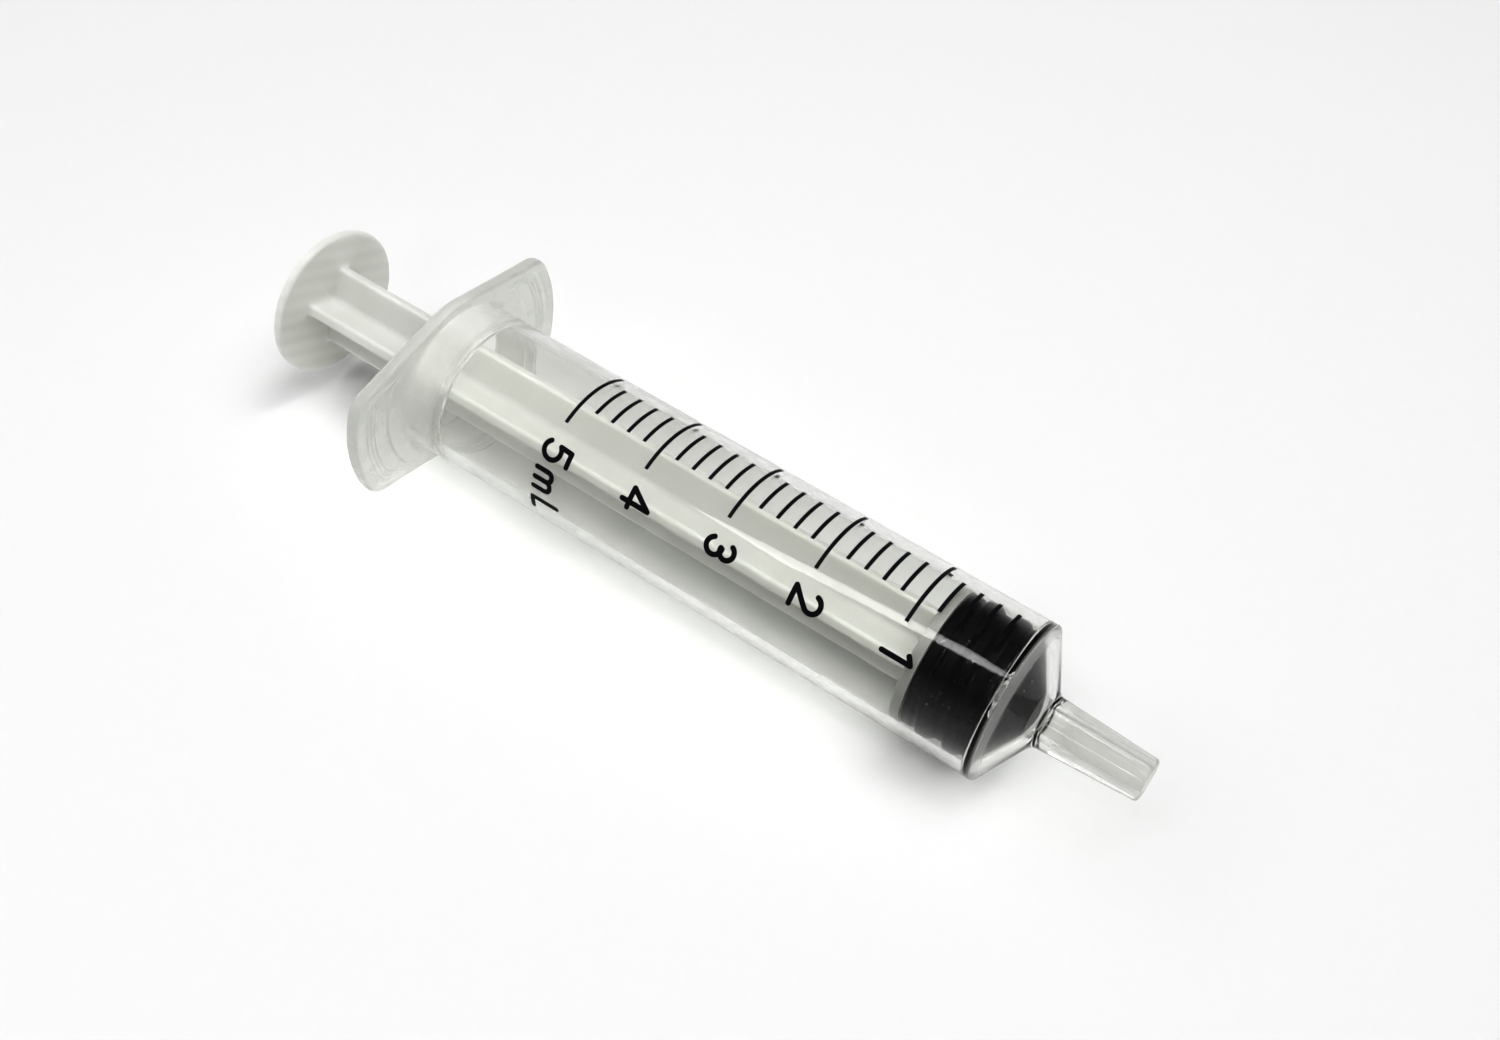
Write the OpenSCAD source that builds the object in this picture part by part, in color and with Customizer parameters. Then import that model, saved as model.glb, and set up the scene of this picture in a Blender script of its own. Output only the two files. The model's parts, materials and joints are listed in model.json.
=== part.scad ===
// Oral syringe: a clear graduated barrel with a finger flange and a conical nose,
// a milky plunger rod with a thumb disc, a black rubber gasket and a printed scale.
//
// The syringe lies along X with its nozzle towards +X. The origin is the centre of the
// nozzle's outlet. The long axis of the finger flange is Y, its flat sides face +Z and -Z,
// and the scale is printed on the upper side. Millimetres.

/* [Barrel] */
// Graduated capacity in whole millilitres
capacity_ml = 5; // [3:1:5]
// Diameter of the barrel's bore
bore_d = 12.3; // [11.8:0.1:13]
// Thickness of the barrel's wall
wall = 0.9; // [0.8:0.05:1.1]
// Length of plain barrel between the last graduation and the flange
grip_len = 15.1; // [14.5:0.1:20]
// How far the collar at the mouth reaches in front of the flange
collar_len = 3.6; // [2.5:0.1:5]
// How much the collar stands proud of the barrel
collar_step = 0.12; // [0.05:0.01:0.3]
// Inward height of the bead that keeps the plunger in
bead_h = 0.3; // [0.2:0.05:0.4]

/* [Nozzle] */
// Length of the nozzle in front of the cone
nozzle_len = 9; // [7:0.1:12]
// Diameter of the nozzle at its outlet
nozzle_tip_d = 3.7; // [3.4:0.05:4.2]
// Diameter of the nozzle where it leaves the cone
nozzle_root_d = 4.56; // [4.3:0.02:5]
// Diameter of the passage through the nozzle
outlet_d = 2.2; // [1.6:0.1:2.4]
// Axial rise of the cone for each millimetre of radius
cone_rise = 0.56; // [0.4:0.02:0.8]

/* [Finger flange] */
// Length of the flange from wing tip to wing tip
flange_len = 26.4; // [24:0.2:30]
// Width of the flange across its crowned sides
flange_w = 16; // [16:0.2:18]
// Angle by which each side falls away towards the wing tips
flange_fall = 12; // [8:1:15]
// Thickness of the flange
flange_t = 1.3; // [1:0.1:2]
// Radius of the corners of the wings
wing_corner_r = 2; // [1:0.25:3]
// Width of the raised rim around each wing
rim_w = 0.9; // [0.6:0.1:1.5]
// Depth of the panel inside the rim
rim_h = 0.2; // [0.1:0.05:0.4]

/* [Plunger] */
// Overall width of the cross-shaped rod
rod_w = 7.4; // [6:0.1:9]
// Thickness of each fin of the rod
fin_t = 1.1; // [0.9:0.1:1.5]
// How far the rod is turned about its axis at rest, in degrees
rod_turn = 64; // [0:1:89]
// Diameter of the thumb disc
thumb_d = 14.3; // [13:0.1:18]
// Thickness of the thumb disc
thumb_t = 1; // [0.8:0.1:2]
// Gap between the flange and the thumb disc when the plunger is home
thumb_gap = 14.2; // [10:0.1:20]
// Thickness of the plate that pushes the gasket
plate_t = 0.95; // [0.8:0.05:1.5]

/* [Gasket] */
// Length of the gasket from its back face to the foot of its cone
gasket_len = 6.03; // [5.8:0.01:7]
// Radial clearance of the sealing ribs in the bore
seal_gap = 0.05; // [0.02:0.01:0.08]
// Clearance around the rod's head inside the gasket
head_gap = 0.05; // [0.02:0.01:0.1]

/* [Printed scale] */
// Width of a printed line
line_w = 0.34; // [0.2:0.02:0.4]
// Thickness of the ink
ink_t = 0.03; // [0.02:0.01:0.05]
// Angle around the barrel at which the lines are centred
scale_angle = 82; // [75:1:95]
// Arc length of a line at a whole millilitre
major_arc = 8.05; // [6:0.05:9]
// Arc length of a line at a fifth of a millilitre
minor_arc = 4.05; // [3:0.05:5]
// Height of the numerals
numeral_h = 3; // [2.4:0.1:3.4]

/* [Hidden] */

$fn = 96;
eps = 0.01;

bore_r = bore_d / 2;
barrel_r = bore_r + wall;
outlet_r = outlet_d / 2;
tip_r = nozzle_tip_d / 2;
root_r = nozzle_root_d / 2;
tip_round = 0.35;

// One millilitre of bore, as a length
ml_pitch = 1000 / (PI * pow(bore_r, 2));

// Stations along X, from the outlet back to the thumb disc
root_x = -nozzle_len;
shoulder_x = root_x - (barrel_r - root_r) * cone_rise;
inner_corner_x = shoulder_x - 0.75;
zero_x = inner_corner_x - 0.1;
last_x = zero_x - capacity_ml * ml_pitch;
flange_front_x = last_x - grip_len;
flange_back_x = flange_front_x - flange_t;
collar_x = flange_front_x + collar_len;
bead_x = collar_x - 0.5;
thumb_front_x = flange_back_x - thumb_gap;
thumb_back_x = thumb_front_x - thumb_t;

// Funnel at the back of the nozzle's passage
funnel_r = 2;
funnel_x = inner_corner_x + (bore_r - funnel_r) * cone_rise;
funnel_len = 0.5;

// Gasket and the parts of the rod that hold it
gasket_back_x = zero_x - gasket_len;
plate_front_x = gasket_back_x - head_gap;
plate_back_x = plate_front_x - plate_t;
plate_r = bore_r - 0.15;
nose_r = 1.9;
rib_r = bore_r - seal_gap;
neck_r = 1.8;
neck_len = 1.25;
head_r = 2.8;
head_len = 1.3;
head_tip_r = 1.2;
head_tip_len = 0.9;

// Points of an arc about [cx, cy], from angle a0 to a1 in n steps
function arc(cx, cy, r, a0, a1, n = 8) =
    [for (i = [0 : n]) let (a = a0 + (a1 - a0) * i / n) [cx + r * cos(a), cy + r * sin(a)]];

// Turns a profile of [radius, x] points about the X axis
module turned(profile) {
    rotate([0, 90, 0])
        rotate_extrude()
            polygon(profile);
}

// Raises a [y, z] outline from x0 to x1
module raised(x0, x1) {
    translate([x0, 0, 0])
        rotate([90, 0, 90])
            linear_extrude(height = x1 - x0)
                children();
}

// One quarter of the flange's outline, shrunk by inset: crowned side, corner, wing tip
function flange_quarter(inset) =
    let (end_r = flange_len / 2 - inset,
         side_r = flange_w / 2 - inset,
         corner_r = wing_corner_r - inset / 2,
         reach = end_r - corner_r,
         lean = 90 - flange_fall,
         turn = lean - acos((side_r - corner_r) / reach))
    concat(arc(0, 0, end_r, 0, turn, 6),
           arc(reach * cos(turn), reach * sin(turn), corner_r, turn, lean, 8),
           arc(0, 0, side_r, lean, 90, 3));

function mirrored(points, sx, sy) = [for (p = points) [sx * p[0], sy * p[1]]];
function backwards(points) = [for (i = [len(points) - 1 : -1 : 0]) points[i]];

module flange_outline(inset = 0) {
    quarter = flange_quarter(inset);
    polygon(concat(quarter,
                   backwards(mirrored(quarter, -1, 1)),
                   mirrored(quarter, -1, -1),
                   backwards(mirrored(quarter, 1, -1))));
}

// Outside of the barrel as [radius, x], from the outlet to the flange
function barrel_outside() =
    let (r = barrel_r + collar_step, fillet = 0.75, neck = 0.6)
    concat([[0, 0]],
           arc(tip_r - tip_round, -tip_round, tip_round, 90, 0),
           [[root_r, root_x + neck], [root_r + 0.25, root_x + 0.15]],
           [[barrel_r - 0.12, shoulder_x + 0.12 * cone_rise]],
           [[barrel_r, shoulder_x - 0.12]],
           [[barrel_r, collar_x], [r, collar_x - 2 * collar_step]],
           arc(r + fillet, flange_front_x + fillet, fillet, 180, 270),
           [[r + fillet, flange_back_x], [0, flange_back_x]]);

// Inside of the barrel: passage, funnel, cone, bore, retaining bead and mouth
function barrel_inside() =
    [[0, eps], [outlet_r, eps],
     [outlet_r, funnel_x + funnel_len], [funnel_r, funnel_x],
     [bore_r, inner_corner_x],
     [bore_r, bead_x + 0.5], [bore_r - bead_h, bead_x + 0.15],
     [bore_r - bead_h, bead_x - 0.15], [bore_r, bead_x - 0.5],
     [bore_r, flange_back_x + 0.5], [bore_r + 0.4, flange_back_x - eps],
     [0, flange_back_x - eps]];

module barrel() {
    color([0.86, 0.88, 0.84, 0.4])
        difference() {
            union() {
                turned(barrel_outside());
                raised(flange_back_x, flange_front_x)
                    flange_outline();
            }
            turned(barrel_inside());
            // shallow panel inside the rim of each wing
            difference() {
                raised(flange_front_x - rim_h, flange_front_x + eps)
                    flange_outline(rim_w);
                raised(flange_front_x - 1, flange_front_x + 1)
                    circle(r = flange_w / 2 + 1.2);
            }
        }
}

module thumb_disc() {
    r = thumb_d / 2;
    edge = 0.3;
    ridge_h = 0.15;
    turned(concat([[0, thumb_front_x]],
                  arc(r - edge, thumb_front_x - edge, edge, 90, 0),
                  arc(r - edge, thumb_back_x + ridge_h + edge, edge, 0, -90),
                  [[0, thumb_back_x + ridge_h]]));
    // grip ridges on the thumb's side
    ridge_pitch = 1.5;
    raised(thumb_back_x, thumb_back_x + ridge_h + eps)
        intersection() {
            circle(r = r - 0.9);
            rotate(rod_turn - 90)
                for (i = [-3 : 3])
                    translate([0, i * ridge_pitch])
                        square([thumb_d, 0.5], center = true);
        }
}

module plunger_rod() {
    color([0.84, 0.86, 0.84])
        union() {
            thumb_disc();
            raised(thumb_front_x - eps, plate_back_x + eps)
                rotate(rod_turn) {
                    square([rod_w, fin_t], center = true);
                    square([fin_t, rod_w], center = true);
                }
            // push plate, neck and snap-in head
            turned([[0, plate_back_x], [plate_r - 0.2, plate_back_x],
                    [plate_r, plate_back_x + 0.2], [plate_r, plate_front_x],
                    [neck_r, plate_front_x], [neck_r, plate_front_x + neck_len],
                    [head_r, plate_front_x + neck_len],
                    [head_r, plate_front_x + neck_len + head_len],
                    [head_tip_r, plate_front_x + neck_len + head_len + head_tip_len],
                    [0, plate_front_x + neck_len + head_len + head_tip_len]]);
        }
}

// Outside of the gasket as [radius, x]: two sealing ribs, a groove and the cone
function gasket_outside() =
    let (x = gasket_back_x, body = bore_r - 0.25, groove = bore_r - 0.5,
         rib = 0.55, rib_1 = 2, rib_2 = 4.5)
    concat([[0, x], [body - 0.2, x], [body, x + 0.2], [body, x + rib_1 - 1.0]],
           arc(rib_r - rib, x + rib_1, rib, -60, 60),
           [[groove, x + rib_1 + 0.95], [groove, x + rib_2 - 0.95]],
           arc(rib_r - rib, x + rib_2, rib, -60, 60),
           [[body - 0.05, x + rib_2 + 0.85], [body - 0.05, zero_x - 0.1],
            [body - 0.15, zero_x],
            [nose_r, zero_x + (body - 0.15 - nose_r) * cone_rise],
            [0, zero_x + (body - 0.15 - nose_r) * cone_rise]]);

// Socket for the rod's head, one clearance larger all round
function gasket_inside() =
    let (x = plate_front_x, g = head_gap)
    [[0, gasket_back_x - eps], [neck_r + g, gasket_back_x - eps],
     [neck_r + g, x + neck_len - g], [head_r + g, x + neck_len - g],
     [head_r + g, x + neck_len + head_len + g],
     [head_tip_r + g, x + neck_len + head_len + head_tip_len + g],
     [0, x + neck_len + head_len + head_tip_len + g]];

module gasket() {
    color([0.05, 0.05, 0.055])
        difference() {
            turned(gasket_outside());
            turned(gasket_inside());
        }
}

// One printed line: a thin band around part of the barrel at station x
module printed_line(x, arc_len) {
    span = arc_len / barrel_r * 180 / PI;
    rotate([scale_angle - span / 2, 0, 0])
        rotate([90, 0, 90])
            rotate_extrude(angle = span)
                translate([barrel_r, x - line_w / 2])
                    square([ink_t, line_w]);
}

module scale_major_lines() {
    color([0.04, 0.04, 0.045])
        for (ml = [1 : capacity_ml])
            printed_line(zero_x - ml * ml_pitch, major_arc);
}

module scale_minor_lines() {
    color([0.04, 0.04, 0.045])
        for (ml = [0 : capacity_ml - 1])
            for (fifth = [1 : 4])
                printed_line(zero_x - (ml + fifth / 5) * ml_pitch, minor_arc);
}

// Strokes of the numerals, in units of a numeral 3 high, with round ends
stroke_w = 0.46;
digit_top = 2.8;
digit_base = 0.2;

// Half a turn of round end, which faces the direction given
function cap(p, facing) = arc(p[0], p[1], stroke_w / 2, facing - 90, facing + 90, 8);

module stroke(a, b) {
    facing = atan2(b[1] - a[1], b[0] - a[0]);
    polygon(concat(cap(b, facing), cap(a, facing + 180)));
}

module bow(centre, r, a0, a1) {
    steps = 20;
    outer = arc(centre[0], centre[1], r + stroke_w / 2, a0, a1, steps);
    inner = arc(centre[0], centre[1], r - stroke_w / 2, a1, a0, steps);
    inside = [for (i = [1 : steps - 1]) inner[i]];
    outside = [for (i = [1 : steps - 1]) outer[i]];
    polygon(concat(outside,
                   cap(centre + r * [cos(a1), sin(a1)], a1 + 90),
                   inside,
                   cap(centre + r * [cos(a0), sin(a0)], a0 + 270)));
}

module glyph_1() {
    stroke([0.2, digit_base], [0.2, digit_top]);
    stroke([0.2, digit_top], [-0.4, 2.4]);
}

module glyph_2() {
    bow([0, 2.05], 0.75, -38, 165);
    stroke([0.59, 1.59], [-0.8, digit_base]);
    stroke([-0.8, digit_base], [0.85, digit_base]);
}

module glyph_3() {
    bow([-0.1, 2.15], 0.65, -100, 155);
    bow([-0.1, 0.93], 0.73, -155, 95);
}

module glyph_4() {
    stroke([0.4, digit_base], [0.4, digit_top]);
    stroke([0.4, digit_top], [-0.85, 0.9]);
    stroke([-0.85, 0.9], [0.9, 0.9]);
}

module glyph_5() {
    stroke([-0.55, digit_top], [0.7, digit_top]);
    stroke([-0.55, digit_top], [-0.62, 1.63]);
    bow([-0.05, 1.02], 0.84, -145, 133);
}

module glyph_m() {
    for (x = [-0.95, 0, 0.95])
        stroke([x, digit_base], [x, 1.4]);
    for (x = [-0.475, 0.475])
        bow([x, 1.4], 0.475, 0, 180);
}

module glyph_l() {
    stroke([-0.5, digit_base], [-0.5, digit_top]);
    stroke([-0.5, digit_base], [0.7, digit_base]);
}

// Prints a flat glyph on the barrel: its top points to the nozzle, its foot lies at x
module printed(x, angle) {
    intersection() {
        rotate([angle - 90, 0, 0])
            translate([x, 0, barrel_r - 2])
                rotate([0, 0, -90])
                    linear_extrude(height = 3)
                        scale(numeral_h / 3)
                            children();
        turned([[barrel_r, x - 1], [barrel_r + ink_t, x - 1],
                [barrel_r + ink_t, x + 4], [barrel_r, x + 4]]);
    }
}

module scale_numerals() {
    numeral_angle = 136;
    foot = -0.8;
    color([0.04, 0.04, 0.045]) {
        for (ml = [1 : capacity_ml])
            printed(zero_x - ml * ml_pitch + foot, numeral_angle)
                if (ml == 1) glyph_1();
                else if (ml == 2) glyph_2();
                else if (ml == 3) glyph_3();
                else if (ml == 4) glyph_4();
                else glyph_5();
        printed(last_x + foot, numeral_angle + 23) glyph_m();
        printed(last_x + foot, numeral_angle + 45) glyph_l();
    }
}

barrel();
plunger_rod();
gasket();
scale_major_lines();
scale_minor_lines();
scale_numerals();
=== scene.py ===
"""Looks for a 5 mL oral syringe: clear barrel, milky plunger rod, black gasket, printed scale.

It is laid out as an add-on and run as a script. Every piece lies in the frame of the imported
model: the syringe's axis is X, the nozzle's outlet is the origin, and +Z is up.
"""

import json
import math

import bmesh
import bpy
from mathutils import Matrix, Vector


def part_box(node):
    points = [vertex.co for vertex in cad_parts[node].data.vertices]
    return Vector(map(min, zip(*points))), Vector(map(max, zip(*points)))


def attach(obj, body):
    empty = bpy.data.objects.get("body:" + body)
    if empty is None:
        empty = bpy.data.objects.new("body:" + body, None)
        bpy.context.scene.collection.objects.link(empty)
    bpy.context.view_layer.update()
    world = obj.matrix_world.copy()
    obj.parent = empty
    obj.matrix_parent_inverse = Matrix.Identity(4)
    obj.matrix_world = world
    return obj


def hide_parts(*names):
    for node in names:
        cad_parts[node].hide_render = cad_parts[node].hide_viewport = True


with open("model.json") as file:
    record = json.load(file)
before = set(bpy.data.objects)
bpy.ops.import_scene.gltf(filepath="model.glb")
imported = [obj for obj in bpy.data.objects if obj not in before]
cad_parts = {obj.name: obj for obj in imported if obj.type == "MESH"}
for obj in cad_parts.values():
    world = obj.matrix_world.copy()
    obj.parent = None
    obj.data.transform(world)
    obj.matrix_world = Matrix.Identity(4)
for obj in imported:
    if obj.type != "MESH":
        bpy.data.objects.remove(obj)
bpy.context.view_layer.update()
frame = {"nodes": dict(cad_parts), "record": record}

bl_info = {
    "name": "Oral syringe",
    "version": (1, 0, 0),
    "blender": (4, 5, 0),
    "location": "View3D > Sidebar > Syringe",
    "description": "Builds the detailed pieces of an oral syringe around its packed model",
    "category": "Object",
}

MM = 0.001

MOUNTS = {m["name"]: m for m in frame["record"]["mounts"]}

BARREL_LOW, BARREL_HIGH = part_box("barrel")
ROD_LOW, ROD_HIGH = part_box("plunger_rod")
GASKET_LOW, GASKET_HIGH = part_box("gasket")

PASSAGE_R = MOUNTS["nozzle_bore"]["dims"]["r_mm"] * MM
PASSAGE_LEN = MOUNTS["nozzle_bore"]["dims"]["length_mm"] * MM

# the rod's snap-in head, which the gasket's socket follows
NECK_R = 1.8 * MM
NECK_LENGTH = 1.25 * MM
HEAD_R = 2.8 * MM
HEAD_LENGTH = 1.3 * MM
HEAD_TIP_R = 1.2 * MM
HEAD_TIP_LENGTH = 0.9 * MM

# the barrel's end: axial thickness of its shoulder, and the funnel behind the passage
SHOULDER_WALL = 0.75 * MM
FUNNEL_R = 2 * MM
FUNNEL_LENGTH = 0.5 * MM

# the flange's grip ridges: their places across the panel, height, half width and the
# least room between root and rim that the panel needs, with the room over which it deepens
GRIP_PLACES = (0.5, 0.66, 0.82)
GRIP_HEIGHT = 0.1 * MM
GRIP_HALF = 0.16 * MM
PANEL_LEAST = 0.5 * MM
PANEL_GROWTH = 1.6 * MM

# the gasket: middles of its grooves in front of its back face, with half widths at the rib
# on each groove's bottom and at its top, its depth, and the radius of the nose
GROOVE_MIDDLES = (4.5 * MM, 2.0 * MM)
RIB_HALF = 0.42 * MM
GROOVE_HALF = 0.85 * MM
GROOVE_DEPTH = 0.5 * MM
NOSE_R = 1.9 * MM

# refraction of polypropylene, the same for its clear and milky kinds
PLASTIC_IOR = 1.49

# where the camera looks, from where, and how it is held
CAMERA_TARGET = Vector((-38.64, 1.58, 1.10)) * MM
CAMERA_AZIMUTH = math.radians(32.507)
CAMERA_ELEVATION = math.radians(50.464)
CAMERA_ROLL = math.radians(4.05)
CAMERA_DISTANCE = 139.73 * MM
CAMERA_LENS = 39.82

MIDDLE = (-0.04, 0, 0)
NOZZLE = (-0.005, 0, 0)
# name, place, target, length and width, watts, direction of the long side
LAMPS = (
    ("tube_lamp", (-0.1065, -0.095, 0.3), MIDDLE, (0.15, 0.036), 0.14, (0.605, 0.797, 0)),
    ("far_tube_lamp", (-0.022, 0.075, 0.3), MIDDLE, (0.2, 0.032), 0.13, (0.28, 0.96, 0)),
    ("nozzle_lamp", (-0.012, 0.077, 0.341), NOZZLE, (0.06, 0.014), 0.05, (1, 0, 0)),
    ("low_nozzle_lamp", (-0.012, -0.252, 0.242), NOZZLE, (0.06, 0.02), 0.05, (1, 0, 0)),
    ("top_lamp", (0.3, 0.03, 1.0), MIDDLE, (0.9, 0.6), 4.6, (0, 1, 0)),
    ("side_lamp", (-0.85, -0.1, 0.6), MIDDLE, (1.0, 0.4), 2.7, (0, 1, 0)),
)
# height of a direction, from the horizon at 0 to the zenith at 1, and the sky's tone there
SKY_TONES = ((0.0, 0.7), (0.15, 0.6), (0.5, 0.1), (1.0, 0.06))
SKY_STRENGTH = 0.65
FLOOR_SIZE = 1.6


# ---------------------------------------------------------------- sizes and colours


class SyringeBarrelSizes(bpy.types.PropertyGroup):
    """Sizes of the barrel's moulding."""

    radius: bpy.props.FloatProperty(
        name="Radius", description="Outside radius of the barrel",
        default=7.05 * MM, unit="LENGTH", precision=5)
    wall: bpy.props.FloatProperty(
        name="Wall", description="Thickness of the barrel's wall",
        default=0.9 * MM, unit="LENGTH", precision=5)
    tip_radius: bpy.props.FloatProperty(
        name="Nozzle tip radius", description="Radius of the nozzle at its outlet",
        default=1.85 * MM, unit="LENGTH", precision=5)
    root_radius: bpy.props.FloatProperty(
        name="Nozzle root radius", description="Radius of the nozzle where it leaves the cone",
        default=2.28 * MM, unit="LENGTH", precision=5)
    nozzle_length: bpy.props.FloatProperty(
        name="Nozzle length", description="Length of the nozzle in front of the cone",
        default=9 * MM, unit="LENGTH", precision=5)
    cone_rise: bpy.props.FloatProperty(
        name="Cone rise", description="Axial rise of the cone for each unit of radius",
        default=0.56)
    collar_length: bpy.props.FloatProperty(
        name="Collar length", description="Reach of the collar in front of the flange",
        default=3.6 * MM, unit="LENGTH", precision=5)
    collar_step: bpy.props.FloatProperty(
        name="Collar step", description="How far the collar stands proud of the barrel",
        default=0.12 * MM, unit="LENGTH", precision=5)
    flange_thickness: bpy.props.FloatProperty(
        name="Flange thickness", description="Thickness of the finger flange",
        default=1.3 * MM, unit="LENGTH", precision=5)
    flange_width: bpy.props.FloatProperty(
        name="Flange width", description="Width of the flange across its crowned sides",
        default=16 * MM, unit="LENGTH", precision=5)
    flange_fall: bpy.props.FloatProperty(
        name="Flange fall", description="Angle by which each side falls towards the wing tips",
        default=math.radians(12), subtype="ANGLE")
    wing_corner: bpy.props.FloatProperty(
        name="Wing corner", description="Radius of the corners of the wings",
        default=2 * MM, unit="LENGTH", precision=5)
    rim_width: bpy.props.FloatProperty(
        name="Rim width", description="Width of the raised rim around each wing",
        default=0.9 * MM, unit="LENGTH", precision=5)
    rim_height: bpy.props.FloatProperty(
        name="Rim height", description="Depth of the panel inside the rim",
        default=0.2 * MM, unit="LENGTH", precision=5)
    bead_height: bpy.props.FloatProperty(
        name="Bead height", description="Inward height of the bead that keeps the plunger in",
        default=0.3 * MM, unit="LENGTH", precision=5)


class SyringePlungerSizes(bpy.types.PropertyGroup):
    """Sizes of the plunger rod and the gasket."""

    rod_width: bpy.props.FloatProperty(
        name="Rod width", description="Overall width of the cross-shaped rod",
        default=7.4 * MM, unit="LENGTH", precision=5)
    fin_thickness: bpy.props.FloatProperty(
        name="Fin thickness", description="Thickness of each fin",
        default=1.1 * MM, unit="LENGTH", precision=5)
    turn: bpy.props.FloatProperty(
        name="Turn", description="How far the rod is turned about its axis at rest",
        default=math.radians(64), subtype="ANGLE")
    thumb_thickness: bpy.props.FloatProperty(
        name="Thumb disc thickness", description="Thickness of the thumb disc with its ridges",
        default=1 * MM, unit="LENGTH", precision=5)
    ridge_height: bpy.props.FloatProperty(
        name="Ridge height", description="Height of the grip ridges on the thumb disc",
        default=0.15 * MM, unit="LENGTH", precision=5)
    ridge_pitch: bpy.props.FloatProperty(
        name="Ridge pitch", description="Distance from one grip ridge to the next",
        default=1.5 * MM, unit="LENGTH", precision=5)
    plate_thickness: bpy.props.FloatProperty(
        name="Plate thickness", description="Thickness of the plate behind the gasket",
        default=0.95 * MM, unit="LENGTH", precision=5)
    head_gap: bpy.props.FloatProperty(
        name="Head gap", description="Clearance around the rod's head in the gasket",
        default=0.05 * MM, unit="LENGTH", precision=5)
    body_gap: bpy.props.FloatProperty(
        name="Gasket gap", description="Gap between the gasket's body and the bore",
        default=0.25 * MM, unit="LENGTH", precision=5)
    seal_gap: bpy.props.FloatProperty(
        name="Seal gap", description="Gap between the sealing ribs and the bore",
        default=0.05 * MM, unit="LENGTH", precision=5)


class SyringeColours(bpy.types.PropertyGroup):
    """Colours of the syringe's materials and of the floor."""

    clear: bpy.props.FloatVectorProperty(
        name="Clear plastic", description="Tint of the barrel's plastic",
        subtype="COLOR", size=3, default=(0.885, 0.889, 0.87), min=0, max=1)
    haze: bpy.props.FloatVectorProperty(
        name="Haze", description="Colour of the clear plastic where it is thick and milky",
        subtype="COLOR", size=3, default=(0.77, 0.774, 0.75), min=0, max=1)
    milky: bpy.props.FloatVectorProperty(
        name="Milky plastic", description="Colour of the plunger rod",
        subtype="COLOR", size=3, default=(0.555, 0.557, 0.537), min=0, max=1)
    rubber: bpy.props.FloatVectorProperty(
        name="Rubber", description="Colour of the gasket",
        subtype="COLOR", size=3, default=(0.004, 0.004, 0.005), min=0, max=1)
    ink: bpy.props.FloatVectorProperty(
        name="Ink", description="Colour of the printed scale",
        subtype="COLOR", size=3, default=(0.004, 0.004, 0.005), min=0, max=1)
    floor: bpy.props.FloatVectorProperty(
        name="Floor", description="Colour of the floor",
        subtype="COLOR", size=3, default=(0.79, 0.79, 0.79), min=0, max=1)


# ---------------------------------------------------------------- profiles and meshes


def fillet(before, corner, after, radius, steps):
    """Points of a round corner between two straight lines, as (x, r) pairs."""
    into = Vector(before) - Vector(corner)
    out = Vector(after) - Vector(corner)
    half = into.angle(out) / 2
    if radius <= 0 or half > math.pi / 2 - 1e-4 or half < 1e-4:
        return [Vector(corner)] * (steps + 1)
    longest = 0.48 * min(into.length, out.length)
    reach = min(radius / math.tan(half), longest)
    radius = reach * math.tan(half)
    into.normalize()
    out.normalize()
    centre = Vector(corner) + (into + out).normalized() * radius / math.sin(half)
    start = Vector(corner) + into * reach - centre
    end = Vector(corner) + out * reach - centre
    sweep = start.angle(end)
    points = []
    for i in range(steps + 1):
        t = i / steps
        a = math.sin((1 - t) * sweep) / math.sin(sweep)
        b = math.sin(t * sweep) / math.sin(sweep)
        points.append(centre + start * a + end * b)
    return points


def rounded(corners, closed=True, steps=6, hold=0.06 * MM):
    """A path through (x, r, fillet radius) corners, with points that hold its straight runs."""
    count = len(corners)
    arcs = []
    for i, (x, r, radius) in enumerate(corners):
        if not closed and i in (0, count - 1):
            arcs.append([Vector((x, r))])
            continue
        before = corners[i - 1][:2]
        after = corners[(i + 1) % count][:2]
        arcs.append(fillet(before, (x, r), after, radius, steps))
    path = []
    for i, arc in enumerate(arcs):
        path += arc
        if i == count - 1 and not closed:
            break
        start, end = arc[-1], arcs[(i + 1) % count][0]
        run = (end - start).length
        share = min(hold, 0.25 * run) / run if run > 1e-9 else 0.25
        path += [start.lerp(end, share), start.lerp(end, 1 - share)]
    return path


def skin(name, loops, closed=True):
    """A mesh object whose faces join each loop of points to the next one."""
    count = len(loops[0])
    points = [point for loop in loops for point in loop]
    faces = []
    for i in range(len(loops) if closed else len(loops) - 1):
        here, there = i * count, (i + 1) % len(loops) * count
        for j in range(count):
            k = (j + 1) % count
            faces.append((here + j, here + k, there + k, there + j))
    mesh = bpy.data.meshes.new(name)
    mesh.from_pydata(points, [], faces)
    piece = bpy.data.objects.new(name, mesh)
    bpy.context.scene.collection.objects.link(piece)
    if not closed:
        cap_ends(mesh)
    tidy_mesh(mesh)
    return piece


def cap_ends(mesh):
    """Closes the open ends of a swept mesh."""
    work = bmesh.new()
    work.from_mesh(mesh)
    rims = [edge for edge in work.edges if edge.is_boundary]
    bmesh.ops.holes_fill(work, edges=rims)
    work.to_mesh(mesh)
    work.free()


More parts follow.
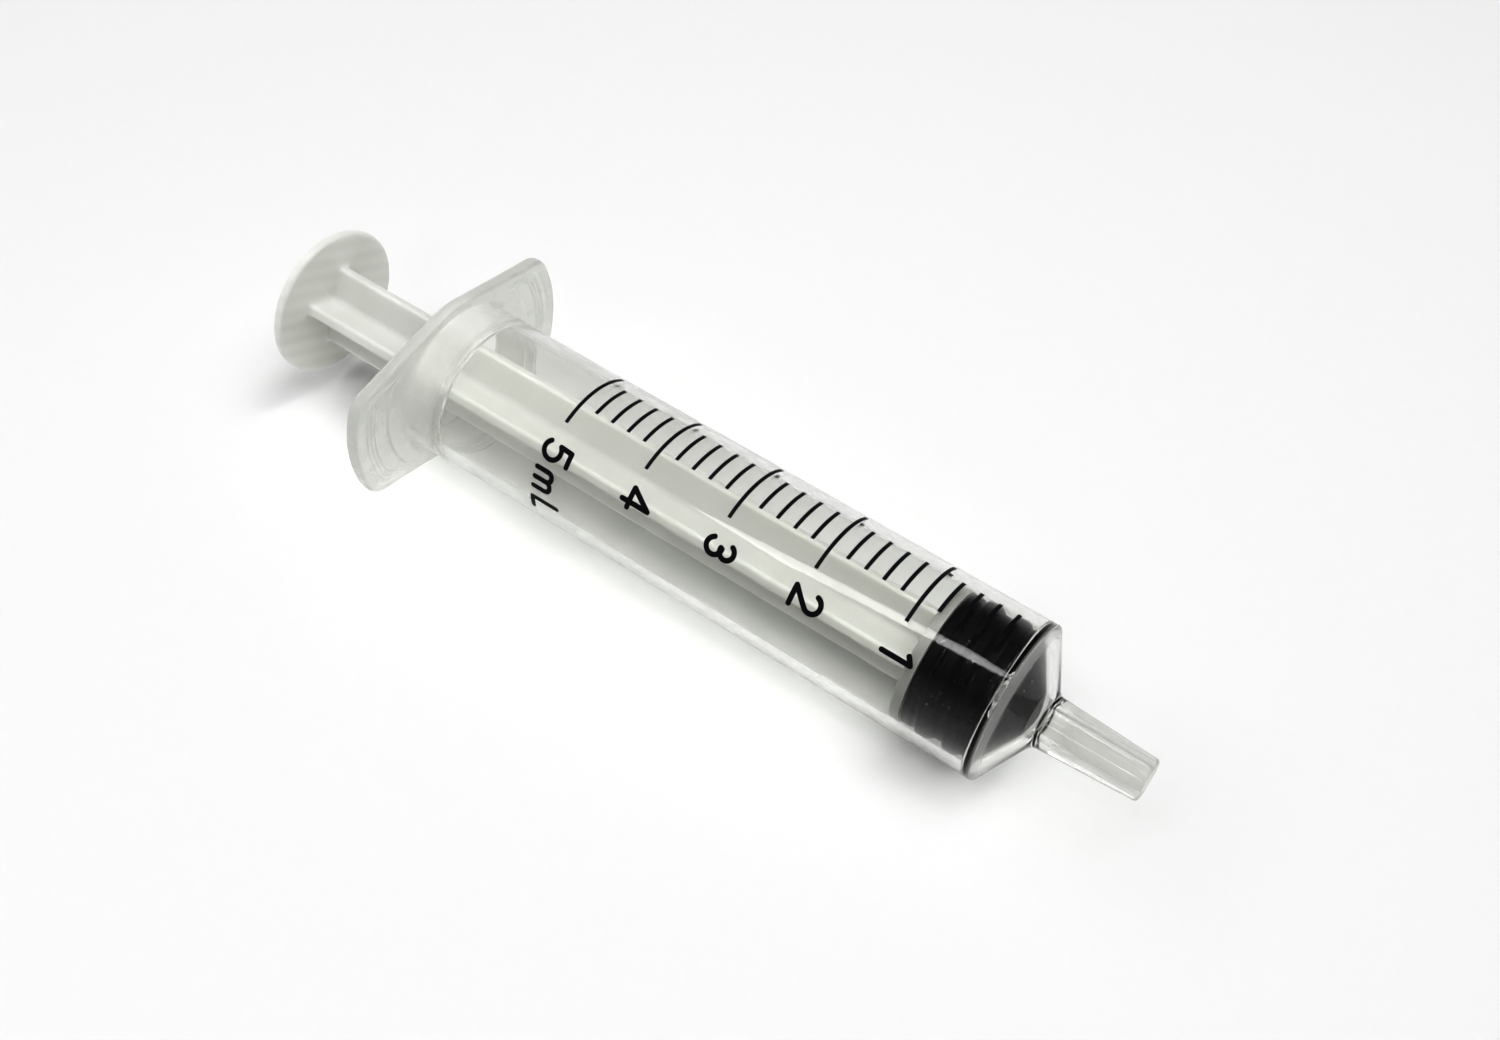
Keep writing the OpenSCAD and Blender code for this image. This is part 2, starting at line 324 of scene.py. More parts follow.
def tidy_mesh(mesh, sharp=math.radians(40)):
    """Merges doubled points, turns every face outwards and shades the mesh smooth."""
    work = bmesh.new()
    work.from_mesh(mesh)
    bmesh.ops.remove_doubles(work, verts=work.verts, dist=1e-7)
    bmesh.ops.dissolve_degenerate(work, edges=work.edges, dist=1e-8)
    # a path that starts and ends on the axis leaves one bare edge along it
    wires = [edge for edge in work.edges if edge.is_wire]
    bmesh.ops.delete(work, geom=wires, context="EDGES")
    bmesh.ops.recalc_face_normals(work, faces=work.faces)
    work.to_mesh(mesh)
    work.free()
    mesh.shade_smooth()
    mesh.set_sharp_from_angle(angle=sharp)


def check_closed(piece):
    """Stops the script if a face's edge isn't shared with exactly one other face."""
    work = bmesh.new()
    work.from_mesh(piece.data)
    loose = [edge for edge in work.edges if not edge.is_manifold]
    work.free()
    if loose:
        raise RuntimeError(f"{piece.name} isn't closed at {len(loose)} edges")


def turned(name, path_at, angles):
    """A mesh made by turning a closed (x, r) path, which may change with the angle, about X."""
    loops = []
    for angle in angles:
        c, s = math.cos(angle), math.sin(angle)
        loops.append([(x, r * c, r * s) for x, r in path_at(angle)])
    return skin(name, loops)


def whole_turn(steps):
    """Evenly spaced angles of one turn."""
    return [2 * math.pi * i / steps for i in range(steps)]


def smooth(t):
    """A smooth step from 0 to 1."""
    t = min(max(t, 0.0), 1.0)
    return t * t * (3 - 2 * t)


def join_solids(piece, others):
    """Welds overlapping closed meshes into one."""
    for other in others:
        weld = piece.modifiers.new("Weld", "BOOLEAN")
        weld.operation = "UNION"
        weld.solver = "EXACT"
        weld.object = other
    bpy.context.view_layer.update()
    view = bpy.context.evaluated_depsgraph_get()
    mesh = bpy.data.meshes.new_from_object(piece.evaluated_get(view))
    piece.modifiers.clear()
    piece.data = mesh
    for other in others:
        bpy.data.objects.remove(other)
    tidy_mesh(mesh)
    return piece


def add_finish(piece, material, slot, body, *nodes):
    """Gives a piece its material and body, and hides the CAD nodes that it stands for; the slot
    is not used.
    """
    check_closed(piece)
    piece.data.materials.clear()
    piece.data.materials.append(material)
    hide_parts(*nodes)
    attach(piece, body)


# ---------------------------------------------------------------- shader nodes


class Value:
    """A socket that can stand in a Python expression."""

    def __init__(self, nodes, socket):
        self.nodes = nodes
        self.socket = socket

    def __add__(self, other):
        return self.nodes.maths("ADD", self, other)

    def __mul__(self, other):
        return self.nodes.maths("MULTIPLY", self, other)

    __radd__ = __add__
    __rmul__ = __mul__


class Nodes:
    """A node tree, and the one method that adds nodes to it."""

    def __init__(self, tree):
        self.tree = tree

    def node(self, kind, settings=(), inputs=(), output=0):
        """Adds a node: its settings first, then its inputs. Returns one of its outputs."""
        added = self.tree.nodes.new(kind)
        for key, value in dict(settings).items():
            if key == "stops":
                self.set_stops(added.color_ramp, value)
            else:
                setattr(added, key, value)
        for key, value in dict(inputs).items():
            if isinstance(value, Value):
                self.tree.links.new(value.socket, added.inputs[key])
            else:
                added.inputs[key].default_value = value
        return Value(self, added.outputs[output]) if added.outputs else added

    @staticmethod
    def set_stops(ramp, stops):
        """Gives a ramp its grey stops, as (place, tone) pairs."""
        for i, (place, tone) in enumerate(stops):
            stop = ramp.elements[i] if i < 2 else ramp.elements.new(place)
            stop.position = place
            stop.color = (tone, tone, tone, 1)

    def maths(self, operation, a, b=0.0):
        """A sum, product or other operation on two numbers."""
        return self.node("ShaderNodeMath", {"operation": operation}, {0: a, 1: b})

    def ramp(self, value, *stops):
        """Grey tones along a value from 0 to 1."""
        return self.node("ShaderNodeValToRGB", {"stops": stops}, {"Fac": value})


class Shader(Nodes):
    """A material and the node tree that it is built in."""

    def __init__(self, name):
        self.material = bpy.data.materials.new(name)
        self.material.use_nodes = True
        super().__init__(self.material.node_tree)
        self.tree.nodes.clear()
        self.object_space = self.node("ShaderNodeTexCoord", output="Object")

    def along_x(self):
        """The place along the syringe's axis."""
        return self.node("ShaderNodeSeparateXYZ", {}, {0: self.object_space})

    def along(self, direction):
        """The place along a direction."""
        return self.node("ShaderNodeVectorMath", {"operation": "DOT_PRODUCT"},
                         {0: self.object_space, 1: direction}, output="Value")

    def radius(self):
        """The distance from the syringe's axis."""
        return self.node("ShaderNodeVectorMath", {"operation": "LENGTH"},
                         {0: self.stretched((0, 1, 1))}, output="Value")

    def between(self, value, low, high):
        """0 at low, 1 at high, and smooth between them."""
        return self.node("ShaderNodeMapRange", {"interpolation_type": "SMOOTHSTEP"},
                         {"Value": value, "From Min": low, "From Max": high})

    def stretched(self, scale):
        """Object coordinates, scaled by a vector."""
        return self.node("ShaderNodeVectorMath", {"operation": "MULTIPLY"},
                         {0: self.object_space, 1: scale})

    def noise(self, scale, detail, along=None):
        """Noise from 0 to 1, with a scale of so many cells to the metre."""
        where = self.stretched(along) if along else self.object_space
        return self.node("ShaderNodeTexNoise", {},
                         {"Vector": where, "Scale": scale, "Detail": detail})

    def blend(self, factor, first, second):
        """Mixes two colours."""
        return self.node("ShaderNodeMix", {"data_type": "RGBA"},
                         {0: factor, 6: rgba(first), 7: rgba(second)}, output=2)

    def bump(self, height, distance, strength):
        """A normal bent by a height from 0 to 1, which stands for a distance."""
        return self.node("ShaderNodeBump", {},
                         {"Height": height, "Distance": distance, "Strength": strength})

    def principled(self, **inputs):
        """The Principled shader, with its sockets named in lower case."""
        named = {key.replace("_", " ").title().replace("Ior", "IOR"): value
                 for key, value in inputs.items()}
        return self.node("ShaderNodeBsdfPrincipled", {}, named)

    def mix(self, factor, first, second):
        """Mixes two shaders."""
        return self.node("ShaderNodeMixShader", {}, {0: factor, 1: first, 2: second})

    def finish(self, surface):
        """Links the surface to the material's output, and returns the material."""
        self.node("ShaderNodeOutputMaterial", {}, {"Surface": surface})
        return self.material


def rgba(colour):
    """A colour as the four numbers that a colour socket takes; a socket stays as it is."""
    return colour if isinstance(colour, Value) else (*colour, 1.0)


def scaled(colour, share):
    """A colour times a share: darker below 1, lighter above it."""
    return tuple(c * share for c in colour)


def clear_plastic(colours, shape):
    """Polypropylene: clear in the barrel, hazy in its flange, shoulder, nozzle and rear."""
    shader = Shader("clear_plastic")
    x = shader.along_x()
    nozzle = shader.between(x, shape.root_x + 0.8 * MM, shape.root_x + 2.4 * MM)
    flow = shader.noise(scale=90, detail=1, along=(0.4, 1, 1))
    cloud = shader.noise(scale=420, detail=3)
    scratches = shader.ramp(shader.noise(scale=2600, detail=1, along=(0.06, 1, 1)),
                            (0.62, 0), (0.72, 1))
    tint = shader.blend(cloud, colours.clear, scaled(colours.clear, 0.96))
    glass = shader.principled(
        base_color=shader.blend(nozzle, tint, scaled(colours.clear, 0.86)),
        roughness=0.015 + 0.015 * cloud + 0.015 * scratches,
        normal=shader.bump(flow, distance=0.003 * MM, strength=0.3),
        transmission_weight=1.0, ior=PLASTIC_IOR, specular_tint=(0.4, 0.4, 0.4, 1))
    satin = shader.principled(
        base_color=shader.blend(cloud, colours.haze, scaled(colours.haze, 0.93)),
        roughness=0.22 + 0.1 * cloud,
        normal=shader.bump(flow, distance=0.01 * MM, strength=0.3),
        ior=PLASTIC_IOR)
    glow = shader.node("ShaderNodeBsdfTranslucent", {}, {"Color": rgba(colours.haze)})
    milk = shader.mix(0.45, satin, glow)

    # where the haze lies: 0 to 1 along the axis, and on the shoulder also by the radius
    back = shape.collar_x + 0.4 * MM
    flange = shader.between(x, back, back - 2.5 * MM)
    ring_x = shape.shoulder_x + 0.2 * MM
    ring = (shader.between(x, ring_x - 0.5 * MM, ring_x - 0.2 * MM)
            * shader.between(x, ring_x + 0.4 * MM, ring_x + 0.2 * MM)
            * shader.between(shader.radius(), shape.bore - 0.7 * MM, shape.bore - 0.4 * MM))
    middle_x = -20 * MM
    rearward = shader.between(x, middle_x, shape.collar_x)
    patches = 0.9 + 0.2 * cloud
    haze = (0.003 + 0.16 * rearward + 0.4 * flange + 0.22 * nozzle + 0.38 * ring) * patches

    # light from a lamp passes straight through, so that it reaches what is inside
    lamps = shader.node("ShaderNodeBsdfTransparent", {}, {"Color": (0.96, 0.965, 0.955, 1)})
    path = shader.node("ShaderNodeLightPath", output="Is Shadow Ray")
    return shader.finish(shader.mix(path, shader.mix(haze, glass, milk), lamps))


def milky_plastic(colours, sizes):
    """Polypropylene: milky, with light that spreads under a satin skin."""
    shader = Shader("milky_plastic")
    x = shader.along_x()
    cloud = shader.noise(scale=320, detail=3)
    grain = shader.noise(scale=5200, detail=2)
    body = shader.blend(cloud, colours.milky, scaled(colours.milky, 0.93))

    # painted light: paler towards the thumb disc, where the rod stands outside the barrel;
    # painted light and shade in stripes across the disc, for the shadows of its ridges seen
    # through it
    # painted light: lighter where the rod is outside the barrel, in the open light
    painted_light_outside = shader.between(x, ROD_LOW.x + 15 * MM, ROD_LOW.x + 5 * MM)
    body = shader.blend(painted_light_outside, body, scaled(colours.milky, 1.26))
    across = sizes.turn - math.pi / 2
    place = shader.along((0, -math.sin(across), math.cos(across)))
    # painted light and shade: lighter on the ridges, darker between them, for the ridges'
    # shadows seen through the disc
    painted_ridge_stripes = 0.5 + 0.5 * shader.maths("COSINE", place * (2 * math.pi / sizes.ridge_pitch))
    disc = shader.between(x, ROD_LOW.x + 1.6 * MM, ROD_LOW.x + 1.1 * MM)
    body = shader.blend(painted_ridge_stripes * disc * 0.4, body, scaled(colours.milky, 1.1))

    # painted shade: darker over the push plate, where the black rubber behind it takes away the
    # light that the milky plastic would scatter back
    plate = shader.between(x, GASKET_LOW.x - 1.5 * MM, GASKET_LOW.x - 0.9 * MM)
    plastic = shader.principled(
        base_color=shader.blend(plate, body, scaled(colours.milky, 0.45)),
        roughness=0.32 + 0.12 * cloud,
        normal=shader.bump(grain, distance=0.006 * MM, strength=0.6),
        subsurface_weight=0.7, subsurface_radius=(1.0, 1.0, 0.9), subsurface_scale=1.6 * MM,
        ior=PLASTIC_IOR)
    return shader.finish(plastic)


def black_rubber(colours):
    """Moulded rubber with specks of silicone oil."""
    shader = Shader("black_rubber")
    pores = shader.noise(scale=3800, detail=3)
    oil = shader.ramp(shader.noise(scale=2600, detail=2), (0.6, 0), (0.68, 1))
    rubber = shader.principled(
        base_color=shader.blend(pores, colours.rubber, scaled(colours.rubber, 1.6)),
        roughness=0.3 + 0.12 * pores, specular_ior_level=0.05,
        coat_weight=0.04 + 0.8 * oil, coat_roughness=0.06, coat_ior=1.5,
        normal=shader.bump(pores + oil * 0.8, distance=0.003 * MM, strength=0.4))
    return shader.finish(rubber)


def black_ink(colours):
    """Pad-printed ink with a slightly uneven film."""
    shader = Shader("black_ink")
    film = shader.noise(scale=4200, detail=2)
    ink = shader.principled(
        base_color=shader.blend(film, colours.ink, scaled(colours.ink, 2.0)),
        roughness=0.45 + 0.15 * film, specular_ior_level=0.1,
        normal=shader.bump(film, distance=0.004 * MM, strength=0.6))
    return shader.finish(ink)


def floor_paper(colours):
    """Plain pale paper."""
    shader = Shader("floor_paper")
    fibre = shader.noise(scale=900, detail=3)
    paper = shader.principled(
        base_color=shader.blend(fibre, colours.floor, scaled(colours.floor, 0.985)),
        roughness=0.75 + 0.1 * fibre, specular_ior_level=0.1)
    return shader.finish(paper)


# ---------------------------------------------------------------- barrel


class BarrelShape:
    """Stations and radii of the barrel's section, worked out from its sizes."""

    def __init__(self, sizes):
        self.sizes = sizes
        self.outside = sizes.radius
        self.bore = sizes.radius - sizes.wall
        self.root_x = -sizes.nozzle_length
        self.shoulder_x = self.root_x - (self.outside - sizes.root_radius) * sizes.cone_rise
        self.inner_corner_x = self.shoulder_x - SHOULDER_WALL
        self.funnel_x = -PASSAGE_LEN - FUNNEL_LENGTH
        self.back_x = BARREL_LOW.x
        self.front_x = self.back_x + sizes.flange_thickness
        self.collar_x = self.front_x + sizes.collar_length
        self.bead_x = self.collar_x - 0.5 * MM
        self.wing = BARREL_HIGH.y
        self.side = sizes.flange_width / 2
        self.lean = math.pi / 2 - sizes.flange_fall
        reach = self.wing - sizes.wing_corner
        self.turn = self.lean - math.acos((self.side - sizes.wing_corner) / reach)
        self.corner = Vector((reach * math.cos(self.turn), reach * math.sin(self.turn)))

    def corner_end(self, inset=0.0):
        """Polar angle at which the wing's corner runs into the straight side."""
        radius = max(self.sizes.wing_corner - inset, 0.1 * MM)
        end = self.corner + radius * Vector((math.cos(self.lean), math.sin(self.lean)))
        return math.atan2(end.y, end.x)

    def flange_reach(self, angle, inset=0.0):
        """Distance from the axis to the flange's outline, shrunk by inset, at an angle."""
        a = math.acos(min(1.0, abs(math.cos(angle))))
        if a <= self.turn:
            return self.wing - inset
        if a >= self.lean:
            return self.side - inset
        if a >= self.corner_end(inset):
            return (self.side - inset) / math.cos(a - self.lean)
        radius = max(self.sizes.wing_corner - inset, 0.1 * MM)
        along = self.corner.dot(Vector((math.cos(a), math.sin(a))))
        return along + math.sqrt(max(along ** 2 - self.corner.length_squared + radius ** 2, 0))

    def angles(self):
        """Angles of one turn, closer together round the corners of the wings."""
        found = whole_turn(steps=240)
        corner_steps, margin = 18, math.radians(0.6)
        low, high = self.turn - margin, self.corner_end() + margin
        for i in range(corner_steps + 1):
            a = low + (high - low) * i / corner_steps
            found += [a, math.pi - a, math.pi + a, 2 * math.pi - a]
        kept = []
        for a in sorted(found):
            if not kept or a - kept[-1] > math.radians(0.25):
                kept.append(a)
        return kept

    def flange_face(self, angle):
        """Corners of the flange's front face at an angle: panel, its ridges and the rim."""
        sizes = self.sizes
        root = self.outside + sizes.collar_step
        edge = self.flange_reach(angle)
        room = edge - root
        start = root + min(2.0 * MM, 0.45 * room)
        rim = edge - min(sizes.rim_width, 0.45 * room)
        open_share = smooth((rim - start - PANEL_LEAST) / PANEL_GROWTH)
        floor_x = self.front_x - sizes.rim_height * open_share
        slope = min(0.2 * MM, 0.2 * (rim - start))
        face = [(self.front_x, start, 0.1 * MM), (floor_x, start + slope, 0.1 * MM)]
        ridge_h = GRIP_HEIGHT * open_share
        first, last = start + slope, rim - slope
        for share in GRIP_PLACES:
            middle = first + (last - first) * share
            half = min(GRIP_HALF, 0.06 * (last - first))
            face += [(floor_x, middle - half, 0.05 * MM),
                     (floor_x + ridge_h, middle, 0.08 * MM),
                     (floor_x, middle + half, 0.05 * MM)]
        face += [(floor_x, last, 0.1 * MM), (self.front_x, rim, 0.1 * MM)]
        return face + [(self.front_x, edge, 0.42 * MM), (self.back_x, edge, 0.42 * MM)]

    def path(self, angle):
        """The closed section at an angle, from the outlet back over the outside, then inside."""
        sizes = self.sizes
        collar_r = self.outside + sizes.collar_step
        bead_r = self.bore - sizes.bead_height
        corners = [
            (0, sizes.tip_radius, 0.35 * MM),
            (self.root_x, sizes.root_radius, 0.75 * MM),
            (self.shoulder_x, self.outside, 0.25 * MM),
            (self.collar_x, self.outside, 0.05 * MM),
            (self.collar_x - 0.2 * MM, collar_r, 0.08 * MM),
            (self.front_x, collar_r, 0.75 * MM),
            *self.flange_face(angle),
            (self.back_x, self.bore + 0.4 * MM, 0.25 * MM),
            (self.back_x + 0.5 * MM, self.bore, 0.3 * MM),
            (self.bead_x - 0.5 * MM, self.bore, 0.15 * MM),
            (self.bead_x - 0.15 * MM, bead_r, 0.1 * MM),
            (self.bead_x + 0.15 * MM, bead_r, 0.1 * MM),
            (self.bead_x + 0.5 * MM, self.bore, 0.15 * MM),
            (self.inner_corner_x, self.bore, 0.3 * MM),
            (self.funnel_x, FUNNEL_R, 0.3 * MM),
            (-PASSAGE_LEN, PASSAGE_R, 0.2 * MM),
            (0, PASSAGE_R, 0.12 * MM),
        ]
        return rounded(corners)


class SYRINGE_OT_barrel(bpy.types.Operator):
    """Builds the clear barrel with its flange, collar, cone and nozzle"""

    bl_idname = "syringe.barrel"
    bl_label = "Barrel"

    def execute(self, context):
        scene = context.scene
        shape = BarrelShape(scene.syringe_barrel)
        barrel = turned("barrel_moulding", shape.path, shape.angles())
        add_finish(barrel, clear_plastic(scene.syringe_colours, shape), "clear_plastic",
                   "barrel", "barrel")
        return {"FINISHED"}


# ---------------------------------------------------------------- plunger rod


def cross_loop(sizes, grow=0.0):
    """Outline of the rod's cross section as (y, z) points, grown by an amount."""
    half = sizes.fin_thickness / 2 + grow
    reach = sizes.rod_width / 2 + grow
    tip, root = 0.3 * MM + grow, max(0.45 * MM - grow, 0.05 * MM)
    corners = []
    for quarter in range(4):
        c, s = math.cos(quarter * math.pi / 2), math.sin(quarter * math.pi / 2)
        for y, z, radius in ((reach, -half, tip), (reach, half, tip), (half, half, root)):
            corners.append((y * c - z * s, y * s + z * c, radius))
    c, s = math.cos(sizes.turn), math.sin(sizes.turn)
    return [(y * c - z * s, y * s + z * c) for y, z in rounded(corners, steps=4)]


def rod_fins(sizes, back_x, front_x):
    """The cross-shaped shaft, flared where it runs into the disc and the plate."""
    flare, sunk, hold = 0.5 * MM, 0.2 * MM, 0.06 * MM
    spread = 0.9 * flare
    steps = 6
    stations = [(back_x - sunk, spread)]
    for i in range(steps + 1):
        t = i / steps
        stations.append((back_x + flare * t, spread * (1 - math.sqrt(1 - (1 - t) ** 2))))
    middle = [back_x + flare + hold, (back_x + front_x) / 2, front_x - flare - hold]
    mirrored = [(back_x + front_x - x, grow) for x, grow in reversed(stations)]
    stations += [(x, 0.0) for x in middle] + mirrored
    loops = [[(x, y, z) for y, z in cross_loop(sizes, grow)] for x, grow in stations]
    return skin("rod_fins", loops, closed=False)


def thumb_disc(sizes, back_x, radius):
    """The thumb disc, with parallel grip ridges on its outer face."""
    ridge_half, slope, margin = 0.33 * MM, 0.16 * MM, 0.9 * MM
    base_x = back_x + sizes.ridge_height
    front_x = back_x + sizes.thumb_thickness
    face = rounded([(front_x, 0, 0), (front_x, radius, 0.3 * MM), (base_x, radius, 0.3 * MM),
                    (base_x, radius - 0.8 * MM, 0)], closed=False)
    rings = 46
    inner = face[-1].y
    face += [Vector((base_x, inner * (1 - (i + 1) / rings))) for i in range(rings)]
    across = sizes.turn - math.pi / 2

    def ridged(angle):
        points = []
        for x, r in face:
            place = r * math.sin(angle - across) / sizes.ridge_pitch
            away = abs(place - round(place)) * sizes.ridge_pitch
            on_face = abs(x - base_x) < 0.01 * MM
            inside = smooth((radius - margin - r) / (0.25 * MM)) if on_face else 0
            raised = smooth((ridge_half - away) / slope) * inside
            points.append((x - sizes.ridge_height * raised, r))
        return points

    return turned("thumb_disc", ridged, whole_turn(steps=240))


def rod_head(sizes, plate_front_x, bore):
    """The plate that pushes the gasket, the neck and the snap-in head."""
    back_x = plate_front_x - sizes.plate_thickness
    plate_r = bore - 0.15 * MM
    neck_x = plate_front_x + NECK_LENGTH
    shoulder_x = neck_x + HEAD_LENGTH
    tip_x = shoulder_x + HEAD_TIP_LENGTH
    corners = [
        (back_x, 0, 0), (back_x, plate_r, 0.2 * MM), (plate_front_x, plate_r, 0.08 * MM),
        (plate_front_x, NECK_R, 0.1 * MM), (neck_x, NECK_R, 0.1 * MM),
        (neck_x, HEAD_R, 0.2 * MM), (shoulder_x, HEAD_R, 0.2 * MM),
        (tip_x, HEAD_TIP_R, 0.2 * MM), (tip_x, 0, 0),
    ]
    path = rounded(corners, closed=False)
    return turned("rod_head", lambda angle: path, whole_turn(steps=144))


class SYRINGE_OT_plunger_rod(bpy.types.Operator):
    """Builds the milky plunger rod with its thumb disc and snap-in head"""

    bl_idname = "syringe.plunger_rod"
    bl_label = "Plunger rod"

    def execute(self, context):
        scene = context.scene
        sizes = scene.syringe_plunger
        bore = scene.syringe_barrel.radius - scene.syringe_barrel.wall
        plate_front_x = GASKET_LOW.x - sizes.head_gap
        plate_back_x = plate_front_x - sizes.plate_thickness
        disc_front_x = ROD_LOW.x + sizes.thumb_thickness
        rod = rod_fins(sizes, disc_front_x, plate_back_x)
        disc = thumb_disc(sizes, ROD_LOW.x, ROD_HIGH.y)
        rod = join_solids(rod, [disc, rod_head(sizes, plate_front_x, bore)])
        rod.name = "plunger_rod_moulding"
        add_finish(rod, milky_plastic(scene.syringe_colours, sizes), "milky_plastic",
                   "plunger_rod", "plunger_rod")
        return {"FINISHED"}


# ---------------------------------------------------------------- gasket


def gasket_path(sizes, bore, cone_rise):
    """Section of the gasket: ribs, groove, cone and the socket for the rod's head."""
    back_x, nose_x = GASKET_LOW.x, GASKET_HIGH.x
    body = bore - sizes.body_gap
    rib = bore - sizes.seal_gap
    groove = bore - GROOVE_DEPTH
    rim_r = body - 0.15 * MM
    rim_x = nose_x - (rim_r - NOSE_R) * cone_rise
    gap = sizes.head_gap
    neck_x = back_x + NECK_LENGTH - 2 * gap
    shoulder_x = neck_x + HEAD_LENGTH + 2 * gap
    tip_x = shoulder_x + HEAD_TIP_LENGTH
    corners = [(nose_x, 0, 0), (nose_x, NOSE_R, 0.3 * MM), (rim_x, rim_r, 0.12 * MM),
               (rim_x - 0.15 * MM, body - 0.05 * MM, 0.1 * MM)]
    for place in GROOVE_MIDDLES:
        middle = back_x + place
        corners += [(middle + GROOVE_HALF, groove, 0.25 * MM),
                    (middle + RIB_HALF, rib, 0.28 * MM),
                    (middle - RIB_HALF, rib, 0.28 * MM),
                    (middle - GROOVE_HALF, groove, 0.25 * MM)]
    corners += [(back_x + 0.85 * MM, body, 0.15 * MM), (back_x, body, 0.25 * MM),
                (back_x, NECK_R + gap, 0.1 * MM), (neck_x, NECK_R + gap, 0.1 * MM),
                (neck_x, HEAD_R + gap, 0.15 * MM), (shoulder_x, HEAD_R + gap, 0.15 * MM),
                (tip_x, HEAD_TIP_R + gap, 0.15 * MM), (tip_x, 0, 0)]
    return rounded(corners, closed=False)


class SYRINGE_OT_gasket(bpy.types.Operator):
    """Builds the black rubber gasket"""

    bl_idname = "syringe.gasket"
    bl_label = "Gasket"

    def execute(self, context):
        scene = context.scene
        barrel = scene.syringe_barrel
        path = gasket_path(scene.syringe_plunger, barrel.radius - barrel.wall, barrel.cone_rise)
        gasket = turned("gasket_moulding", lambda angle: path, whole_turn(steps=160))
        add_finish(gasket, black_rubber(scene.syringe_colours), "black_rubber", "gasket",
                   "gasket")
        return {"FINISHED"}


# ---------------------------------------------------------------- printed scale


class SYRINGE_OT_scale(bpy.types.Operator):
    """Gives the printed scale its ink"""

    bl_idname = "syringe.scale"
    bl_label = "Printed scale"

    def execute(self, context):
        ink = black_ink(context.scene.syringe_colours)
        for name in ("scale_major_lines", "scale_minor_lines", "scale_numerals"):
            mesh = frame["nodes"][name].data
            mesh.materials.clear()
            mesh.materials.append(ink)
        return {"FINISHED"}


# ---------------------------------------------------------------- floor, lamps and camera


def place_camera(context):
    """A camera that looks down on the scale from beside the nozzle."""
    level_share = math.cos(CAMERA_ELEVATION)
    back = Vector((level_share * math.sin(CAMERA_AZIMUTH),
                   -level_share * math.cos(CAMERA_AZIMUTH), math.sin(CAMERA_ELEVATION)))
    data = bpy.data.cameras.new("camera")
    data.lens = CAMERA_LENS
    data.sensor_width = 36
    data.clip_start = 1 * MM
    data.clip_end = 20
    camera = bpy.data.objects.new("camera", data)
    context.scene.collection.objects.link(camera)
    level = (-back).to_track_quat("-Z", "Y").to_matrix().to_4x4()
    place = Matrix.Translation(CAMERA_TARGET + back * CAMERA_DISTANCE)
    camera.matrix_world = place @ level @ Matrix.Rotation(CAMERA_ROLL, 4, "Z")
    context.scene.camera = camera


def add_lamp(context, name, place, target, size, power, along):
    """A rectangular soft lamp that faces a target, with its long side along a direction."""
    data = bpy.data.lights.new(name, "AREA")
    data.shape = "RECTANGLE"
    data.size, data.size_y = size
    data.energy = power
    lamp = bpy.data.objects.new(name, data)
    context.scene.collection.objects.link(lamp)
    facing = (Vector(place) - Vector(target)).normalized()
    side = Vector(along)
    side = (side - facing * side.dot(facing)).normalized()
    up = facing.cross(side)
    turn = Matrix((side, up, facing)).transposed().to_4x4()
    lamp.matrix_world = Matrix.Translation(place) @ turn


def add_floor(context, shape):
    """A sheet of paper that touches the flange and the shoulder, as a table under them does."""
    run = shape.shoulder_x - (shape.back_x + shape.front_x) / 2
    tilt = math.atan2(shape.side - shape.outside, run)
    bpy.ops.mesh.primitive_plane_add(size=FLOOR_SIZE)
    floor = context.active_object
    floor.name = "floor"
    floor.matrix_world = (Matrix.Translation((shape.shoulder_x, 0, -shape.outside))
                          @ Matrix.Rotation(-tilt, 4, "Y"))
    floor.data.materials.append(floor_paper(context.scene.syringe_colours))


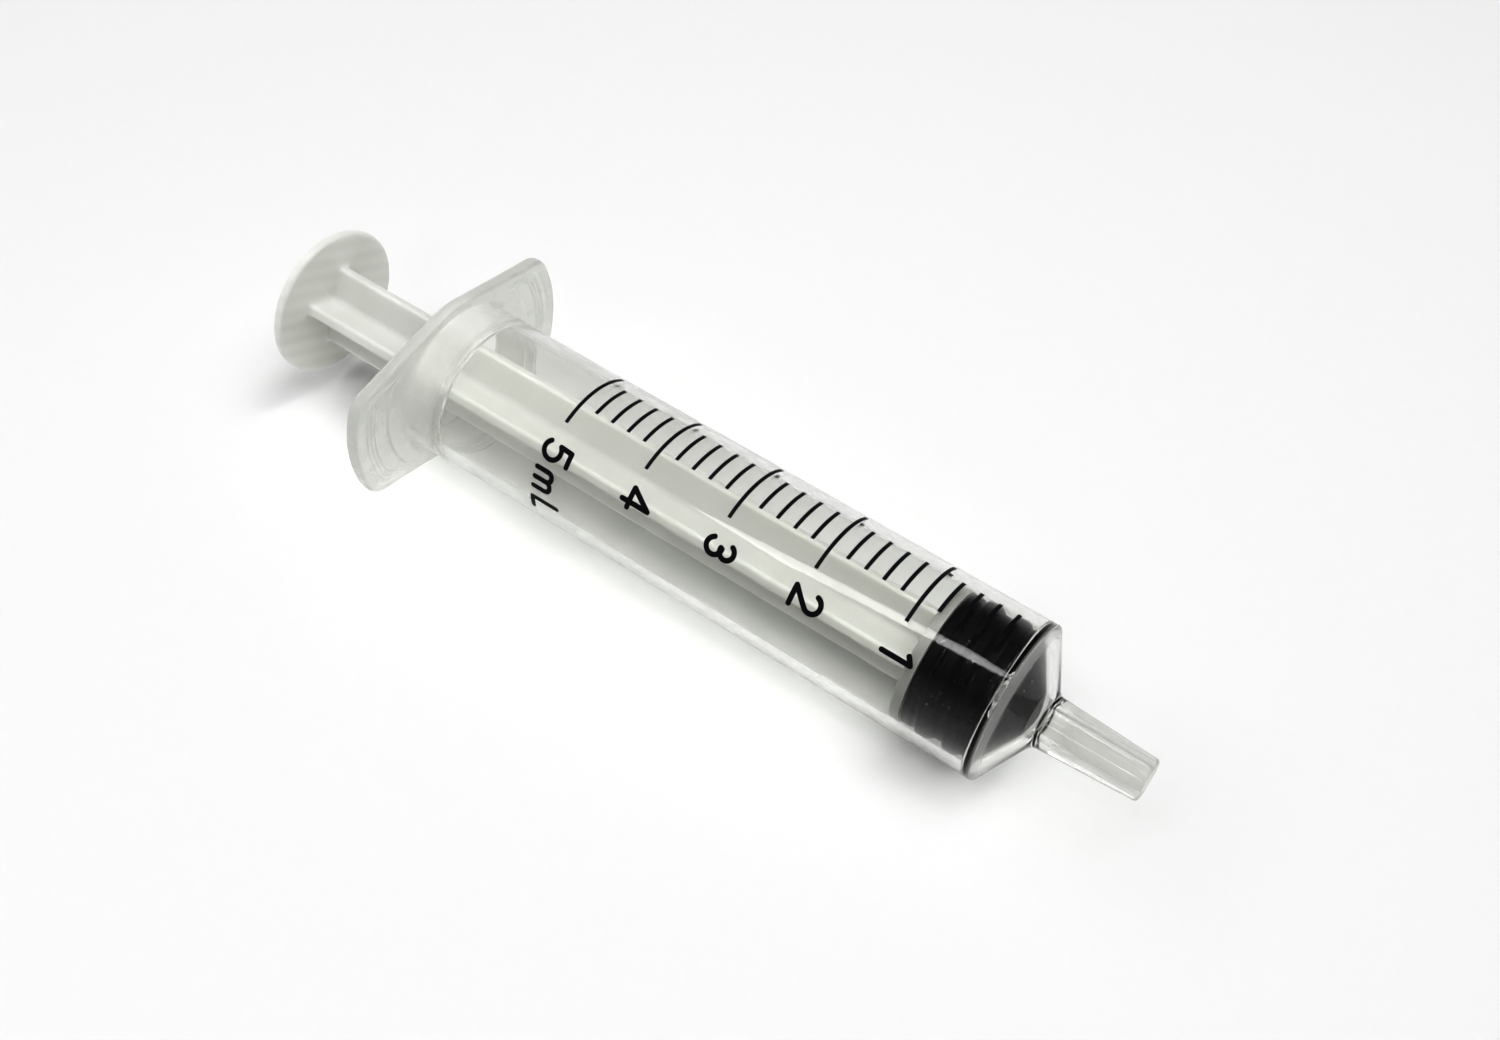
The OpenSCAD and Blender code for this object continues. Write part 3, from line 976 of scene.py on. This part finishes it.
def add_sky(context):
    """Soft light all round, brightest at the horizon and dark overhead."""
    world = bpy.data.worlds.new("studio")
    world.use_nodes = True
    sky = Nodes(world.node_tree)
    direction = sky.node("ShaderNodeTexCoord", output="Generated")
    height = sky.node("ShaderNodeSeparateXYZ", {}, {0: direction}, output="Z")
    tone = sky.ramp(height, *SKY_TONES)
    background = sky.tree.nodes["Background"]
    sky.tree.links.new(tone.socket, background.inputs["Color"])
    background.inputs["Strength"].default_value = SKY_STRENGTH
    context.scene.world = world


class SYRINGE_OT_stage(bpy.types.Operator):
    """Adds the floor, the soft lamps and the camera"""

    bl_idname = "syringe.stage"
    bl_label = "Stage"

    def execute(self, context):
        scene = context.scene
        place_camera(context)
        add_floor(context, BarrelShape(scene.syringe_barrel))
        for lamp in LAMPS:
            add_lamp(context, *lamp)
        add_sky(context)
        # a plain tone curve, which keeps the rubber black
        scene.view_settings.view_transform = "Standard"
        scene.view_settings.look = "High Contrast"
        return {"FINISHED"}


# ---------------------------------------------------------------- panel and registration


class SYRINGE_PT_panel(bpy.types.Panel):
    """Offers the steps that build the syringe"""

    bl_idname = "SYRINGE_PT_panel"
    bl_label = "Oral syringe"
    bl_space_type = "VIEW_3D"
    bl_region_type = "UI"
    bl_category = "Syringe"

    def draw(self, context):
        for operator in OPERATORS:
            self.layout.operator(operator.bl_idname)


OPERATORS = (SYRINGE_OT_stage, SYRINGE_OT_barrel, SYRINGE_OT_plunger_rod,
             SYRINGE_OT_gasket, SYRINGE_OT_scale)
GROUPS = {
    "syringe_barrel": SyringeBarrelSizes,
    "syringe_plunger": SyringePlungerSizes,
    "syringe_colours": SyringeColours,
}


def register():
    for group in GROUPS.values():
        bpy.utils.register_class(group)
    for name, group in GROUPS.items():
        setattr(bpy.types.Scene, name, bpy.props.PointerProperty(type=group))
    for operator in OPERATORS:
        bpy.utils.register_class(operator)
    bpy.utils.register_class(SYRINGE_PT_panel)


def unregister():
    bpy.utils.unregister_class(SYRINGE_PT_panel)
    for operator in reversed(OPERATORS):
        bpy.utils.unregister_class(operator)
    for name, group in GROUPS.items():
        delattr(bpy.types.Scene, name)
        bpy.utils.unregister_class(group)


def main():
    register()
    bpy.ops.syringe.stage()
    bpy.ops.syringe.barrel()
    bpy.ops.syringe.plunger_rod()
    bpy.ops.syringe.gasket()
    bpy.ops.syringe.scale()


if __name__ == "__main__":
    main()
